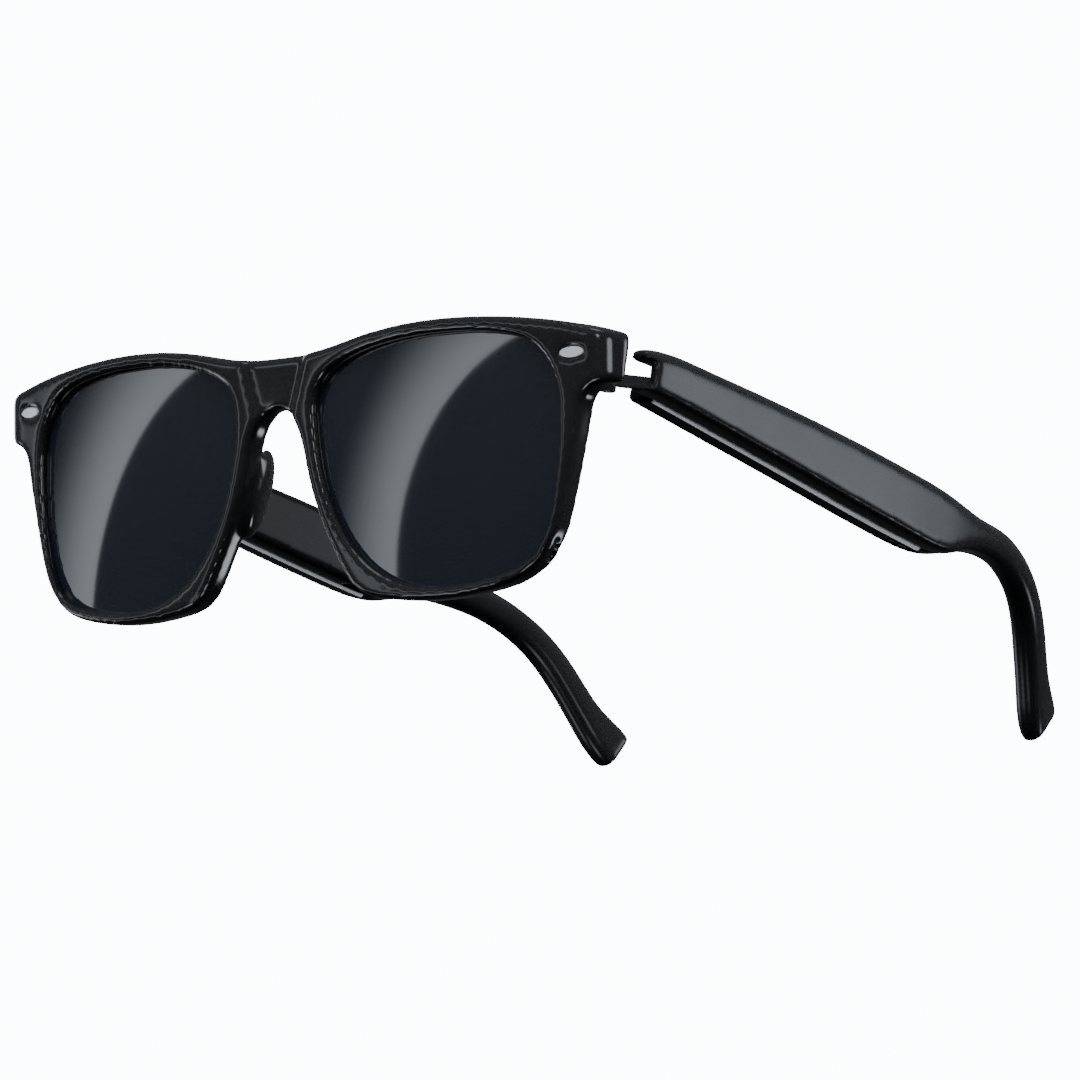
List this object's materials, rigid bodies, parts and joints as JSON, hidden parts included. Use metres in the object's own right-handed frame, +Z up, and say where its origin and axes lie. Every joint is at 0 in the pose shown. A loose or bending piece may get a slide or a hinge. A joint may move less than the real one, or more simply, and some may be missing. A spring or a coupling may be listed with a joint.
{
  "type": "smart glasses",
  "caption": "Audio smart glasses: square one-piece front with tinted lenses, and two folding temples that hold battery, board and speaker.",
  "frame": {"origin": "middle of the footprint, on the surface that the open glasses stand on with lower rims and temple tips", "axes": "+Z up, the front faces -Y, the temples point to +Y, +X is the wearer's left"},
  "size_m": [0.1504, 0.1592, 0.0483],
  "materials": {
    "gloss_frame": "gloss black, softly reflecting",
    "tinted_lens": "dark blue-grey tint, gloss",
    "polished_stud": "polished silver",
    "hinge_metal": "blackened steel",
    "screw_metal": "bright steel",
    "temple_plastic": "gloss black",
    "cover_plastic": "gloss black",
    "wire_metal": "drawn steel wire",
    "board_laminate": "green solder mask",
    "battery_foil": "dull aluminium foil",
    "speaker_case": "dark steel can",
    "flex_film": "amber polyimide film",
    "microphone_can": "plated can",
    "contact_metal": "gold-plated",
    "mesh_metal": "black woven mesh"
  },
  "bodies": {
    "front": {"front_frame": "gloss_frame", "lens_left": "tinted_lens", "lens_right": "tinted_lens", "stud_left": "polished_stud", "stud_right": "polished_stud", "hinge_front_leaf_left": "hinge_metal", "hinge_front_leaf_right": "hinge_metal", "hinge_screw_left": "screw_metal", "hinge_screw_right": "screw_metal"},
    "temple_left": {"hinge_temple_leaf_left": "hinge_metal", "leaf_screws_left": "screw_metal", "temple_shell_left": "temple_plastic", "temple_cover_left": "cover_plastic", "core_wire_left": "wire_metal", "circuit_board_left": "board_laminate", "battery_left": "battery_foil", "speaker_left": "speaker_case", "antenna_left": "flex_film", "touch_sensor_left": "flex_film", "speaker_flex_left": "flex_film", "microphone_left": "microphone_can", "charging_contacts_left": "contact_metal", "speaker_mesh_left": "mesh_metal"},
    "temple_right": {"hinge_temple_leaf_right": "hinge_metal", "leaf_screws_right": "screw_metal", "temple_shell_right": "temple_plastic", "temple_cover_right": "cover_plastic", "core_wire_right": "wire_metal", "circuit_board_right": "board_laminate", "battery_right": "battery_foil", "speaker_right": "speaker_case", "antenna_right": "flex_film", "touch_sensor_right": "flex_film", "speaker_flex_right": "flex_film", "microphone_right": "microphone_can", "charging_contacts_right": "contact_metal", "speaker_mesh_right": "mesh_metal"}
  },
  "joints": [
    {"name": "temple_left_fold", "type": "hinge", "parent": "front", "child": "temple_left", "pos_m": [0.06712, -0.0657, 0.03779], "axis": [0, 0.0558, 0.9984], "range_deg": [0, 84.5]},
    {"name": "temple_right_fold", "type": "hinge", "parent": "front", "child": "temple_right", "pos_m": [-0.06712, -0.0657, 0.03779], "axis": [0, -0.0558, -0.9984], "range_deg": [0, 48]}
  ]
}
